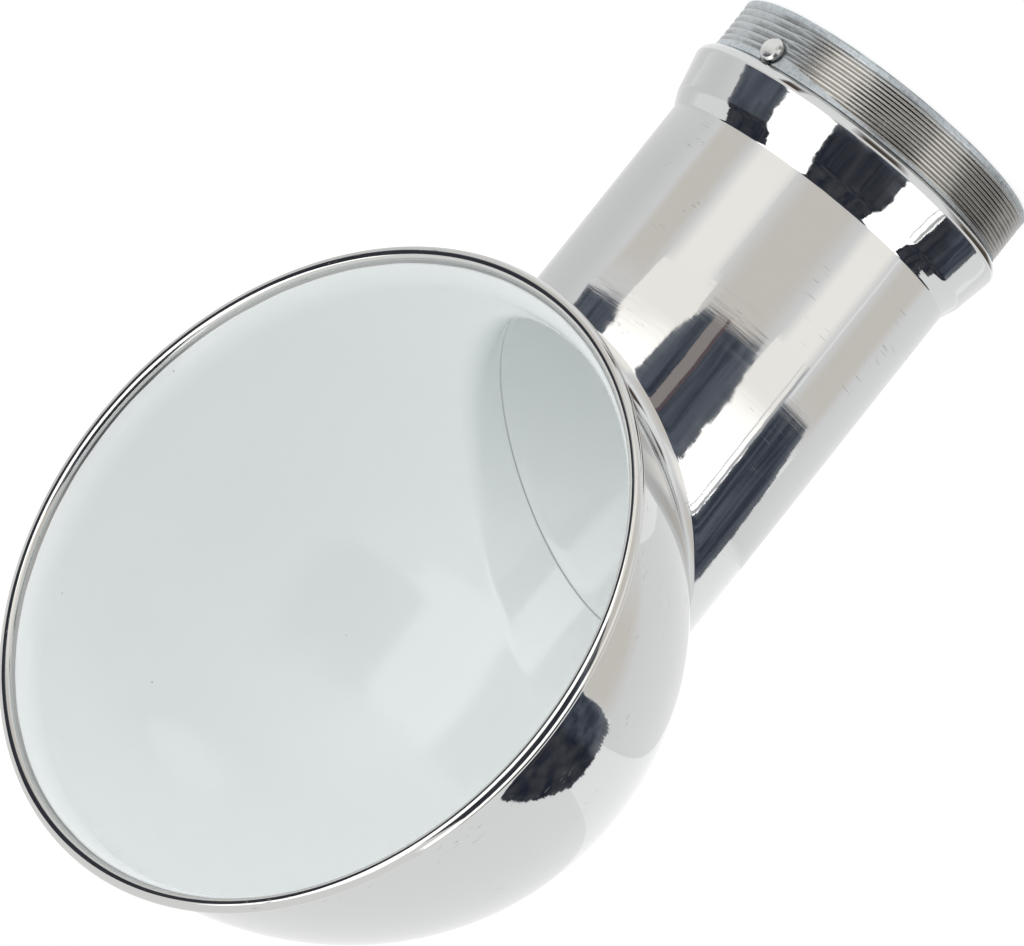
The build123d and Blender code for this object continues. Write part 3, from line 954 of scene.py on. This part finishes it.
def set_camera():
    """Camera far off, aimed at a point and rolled about its own axis."""
    data = bpy.data.cameras.new("camera")
    data.sensor_width = SENSOR_WIDTH
    data.lens = FOCAL_PIXELS / IMAGE_WIDTH * SENSOR_WIDTH
    data.clip_end = CAMERA_REACH
    camera = bpy.data.objects.new("camera", data)
    bpy.context.scene.collection.objects.link(camera)
    upright = (CAMERA_AIM - CAMERA_PLACE).to_track_quat("-Z", "Y").to_matrix().to_4x4()
    camera.matrix_world = (
        Matrix.Translation(CAMERA_PLACE) @ upright @ Matrix.Rotation(-CAMERA_ROLL, 4, "Z")
    )
    bpy.context.scene.camera = camera


def glow(name, colour, strength=1.0):
    """Material that only gives off light."""
    finish, node = new_material(name)
    node("OutputMaterial", Surface=node("Emission", Color=colour, Strength=strength))
    return finish


def faded(name, colour, strength):
    """Light that fades at the sheet's edges into the level of the floor round it."""
    finish, node = new_material(name)
    inset = node("Attribute", attribute_name="inset").outputs["Fac"]
    node("OutputMaterial", Surface=node(
        "Emission", Color=node("Mix", inset, "#F6F6F6", colour, data_type="RGBA"),
        Strength=node("MapRange", inset, 0.0, 1.0, 1.0, strength)))
    return finish


def soft_box_front():
    """White diffuser, dimmer and a little warmer towards its lower edge."""
    finish, node = new_material("soft box")
    place = node("TexCoord").outputs["Object"]
    height = node("SeparateXYZ", place).outputs["Z"]
    whiter = node("MapRange", height, 40 * MM, 80 * MM, 0.0, 1.0)
    node("OutputMaterial", Surface=node(
        "Emission", Color=node("Mix", whiter, "#FFFBF5", "#FFFEFC", data_type="RGBA"),
        Strength=node("MapRange", height, 40 * MM, 66 * MM, 1.26, 2.1)))
    return finish


def dark_cloth():
    """Dark cloth that lies in folds: slate low down and nearly black above, in uneven patches,
    and paler low down at its sides."""
    finish, node = new_material("dark cloth")
    place = node("TexCoord").outputs["Object"]
    height = node("SeparateXYZ", place).outputs["Z"]
    aside = node("Attribute", attribute_name="aside").outputs["Fac"]
    folds = node("TexNoise", Vector=place, Scale=1 / (55 * MM), Detail=3.0,
                 Roughness=NOISE_ROUGHNESS)
    patches = node("MapRange", folds, 0.35, 0.65, 0.0, 1.0)
    low = node("Mix", patches, "#3B414D", "#666C77", data_type="RGBA")
    high = node("Mix", patches, "#282D39", "#4A4B50", data_type="RGBA")
    upper = node("MapRange", height, 100 * MM, 125 * MM, 0.0, 1.0)
    pale = node("Math", node("MapRange", aside, 0.0, 0.6, 0.5, 0.0),
                node("Math", 1.0, upper, operation="SUBTRACT"), operation="MULTIPLY")
    colour = node("Mix", upper, low, high, data_type="RGBA")
    colour = node("Mix", pale, colour, "#9FA3A8", data_type="RGBA")
    node("OutputMaterial", Surface=node("Emission", Color=colour))
    return finish


def shown_at(neck_turn, distance):
    """Turn in radians at which a thing at a distance shows at a turn of the neck, in degrees.

    The view is thrown back about the neck's normal, and sets out from the neck's skin and not
    from its axis, which turns it by the angle whose sine is their offset over the distance.
    """
    view = math.atan2(CAMERA_PLACE.y, CAMERA_PLACE.x)
    turn = np.radians(neck_turn)
    away = 2 * turn - view
    return away + np.arcsin(NECK_RADIUS * np.sin(turn - away) / distance)


def stage_grid(name, grid, finish, lights=False):
    """Open sheet of the studio. It only shows in polished surfaces, or only lights the others.

    It carries how far each point is in from the sheet's edges, from 0 to 1, as inset, and how
    far in from its two sides alone, as aside.
    """
    index = np.arange(grid.shape[0] * grid.shape[1]).reshape(grid.shape[:2])
    quads = np.stack([index[:-1, :-1], index[:-1, 1:], index[1:, 1:], index[1:, :-1]], -1)
    sheet = make_piece(name, grid.reshape(-1, 3), quads.reshape(-1, 4))
    sheet.data.materials.append(finish)
    rows, columns = (np.minimum(steps, steps[::-1]) / (FADE_SHARE * len(steps))
                     for steps in (np.arange(size) for size in grid.shape[:2]))
    for attribute, share in (("inset", np.minimum(rows[:, None], columns)),
                             ("aside", columns + 0 * rows[:, None])):
        layer = sheet.data.attributes.new(attribute, "FLOAT", "POINT")
        layer.data.foreach_set("value", np.clip(share, 0, 1).astype(np.float32).ravel())
    sheet.visible_camera = False
    sheet.visible_shadow = False
    sheet.visible_diffuse = lights
    sheet.visible_glossy = not lights


def stand_card(name, finish, sizes, fray=0.0, lights=False):
    """Upright card bent round the object, its sides frayed by a sum of sines of the height, the
    short ones only low down, and leaning as is given for its name."""
    start, end, low, high, distance = sizes
    height = np.linspace(low, high, int(high - low) + 2)
    sides = [shown_at(start, distance), shown_at(end, distance)]
    for i, seed in enumerate(FRAY_SEEDS):
        phases = np.random.default_rng(seed).uniform(0, TURN, len(FRAY_WAVES))
        swings = np.sin(TURN * height / FRAY_WAVES[:, None] + phases[:, None])
        swings[FRAY_WAVES < SHORT_WAVE] *= np.interp(height, SHORT_WAVES_END, (1, 0))
        sides[i] = sides[i] + np.radians(fray) * swings.sum(axis=0) / USUAL_SWING
    for i, side in enumerate(LEANS.get(name, ())):
        sides[i] = sides[i] + np.radians(np.interp(height, *zip(*side)))
    turn = sides[0][:, None] + (sides[1] - sides[0])[:, None] * np.linspace(0, 1, CARD_COLUMNS)
    stage_grid(name, on_neck(distance, height[:, None] * MM, turn), finish, lights)


def lay_sector(name, finish, start, end, near, far):
    """Flat sheet on the floor, its sides bent so that each shows upright in the neck."""
    distance = np.linspace(near, far, SECTOR_ROWS)[:, None]
    first, last = shown_at(start, distance), shown_at(end, distance)
    turn = first + (last - first) * np.linspace(0, 1, CARD_COLUMNS)
    stage_grid(name, on_neck(distance, SHEET_LEVEL, turn), finish)


def lay_floor():
    """Plain white floor under the object."""
    turn = np.linspace(0, TURN, FLOOR_COLUMNS, endpoint=False)
    work = bmesh.new()
    work.faces.new([work.verts.new(point) for point in on_neck(FLOOR_RADIUS, FLOOR_LEVEL, turn)])
    mesh = bpy.data.meshes.new("floor")
    work.to_mesh(mesh)
    work.free()
    floor = bpy.data.objects.new("floor", mesh)
    bpy.context.scene.collection.objects.link(floor)
    finish, node = new_material("white paper floor")
    node("OutputMaterial", Surface=node(
        "BsdfPrincipled", Base_Color="#929292", Roughness=1.0, Specular_IOR_Level=0.0,
        Emission_Color="#FFFFFF", Emission_Strength=0.82))
    mesh.materials.append(finish)


def light_studio():
    """Soft white light from all sides, with cards and sheets that give the steel its contrast."""
    world = bpy.data.worlds.new("studio")
    bpy.context.scene.world = world
    world.use_nodes = True
    world.node_tree.nodes.clear()
    node = functools.partial(add_node, world.node_tree)
    node("OutputWorld", Surface=node("Background", Color="#FFFFFF", Strength=1.0))
    for cards, finish in ((DARK_CARDS, dark_cloth()), (SOFT_BOXES, soft_box_front())):
        for name, (*sizes, fray) in cards.items():
            stand_card(name, finish, sizes, fray)
    for sheets, reach, finish in (
        (GREY_FLOOR, PALE_REACH, faded("grey floor", "#E6E0D9", 1.05)),
        (CREAM_FLOOR, PALE_REACH, faded("cream floor", "#FFFBF5", 1.27)),
    ):
        for name, turns in sheets.items():
            lay_sector(name, finish, *turns, *reach)
    for name, (*sizes, colour) in STRIPES.items():
        finish = glow(name.replace("_", " "), colour)
        stand_card(name, finish, (*sizes, STRIPE_DISTANCE), STRIPE_FRAY)
    for name, (start, end, height, strength) in DIM_SIDES.items():
        pale = faded(name.replace("_", " "), "#FFFFFF", strength)
        if height:
            stand_card(name, pale, (start, end, 0, height, SIDE_DISTANCE))
        lay_sector(name + "_floor", pale, start, end, PALE_REACH[0], SIDE_DISTANCE)
    stand_card("shade", glow("shade", "#7A7A7A"), SHADE, lights=True)
    brown = faded("brown floor", "#5A5148", 1.0)
    for name, turns in DARK_NEAR.items():
        lay_sector(name, brown, *turns, *DARK_REACH)
    radii = np.array(RING_LIGHT_RADII)[:, None]
    turn = np.linspace(0, TURN, RING_LIGHT_COLUMNS + 1)
    stage_grid("light_in_ring", on_neck(radii, RING_LIGHT_LEVEL, turn),
               glow("light in the ring", "#FFFFFF"), lights=True)
    bpy.context.scene.view_settings.view_transform = "Standard"


set_camera()
light_studio()
lay_floor()

mirror = polished_stainless("buffed stainless", "#CFD0D0", 0.02, 0.07, 0.0010 * MM)
bead_mirror = polished_stainless("buffed stainless bar", "#CCCCCA", 0.05, 0.12, 0.0008 * MM)
enamel = baked_enamel()
cast = cast_stainless()

neck_turn, mouth_turn = columns_of_bowl(BOWL_COLUMNS)
even_turn = np.linspace(0, TURN, NECK_COLUMNS, endpoint=False)
dress(make_bowl(neck_turn, mouth_turn), mirror, "polished_steel", "cowl", "cowl_bowl")
dress(make_bowl_enamel(neck_turn, mouth_turn), enamel, "white_enamel", "cowl", "bowl_enamel")
dress(make_bead(), bead_mirror, "bead_steel", "cowl", "rim_ring")
dress(make_neck(even_turn), mirror, "polished_steel", "cowl", "neck_tube")
dress(make_weld(even_turn), ground_weld(), "weld_steel", "cowl", "neck_weld")
dress(make_neck_enamel(even_turn), enamel, "white_enamel", "cowl", "neck_enamel")
ring = make_ring()
drill_for_pin(ring)
dress(ring, cast, "cast_steel", "cowl", "threaded_ring")
dress(make_boss(), cast, "cast_steel", "cowl")
dress(make_pin(), turned_metal("turned stainless pin", "#D2D2D0", 0.2, 6 * MM),
      "pin_steel", "locking_pin", "lock_pin")
dress_node("ring_braze", turned_metal("silver braze", "#C9B98C", 0.35, 0.8 * MM))
dress_node("pin_spring", turned_metal("spring wire", "#9A9A9C", 0.3, 0.3 * MM))
dress_node("spring_plug", turned_metal("turned brass", "#C9AE68", 0.3, 0.5 * MM))
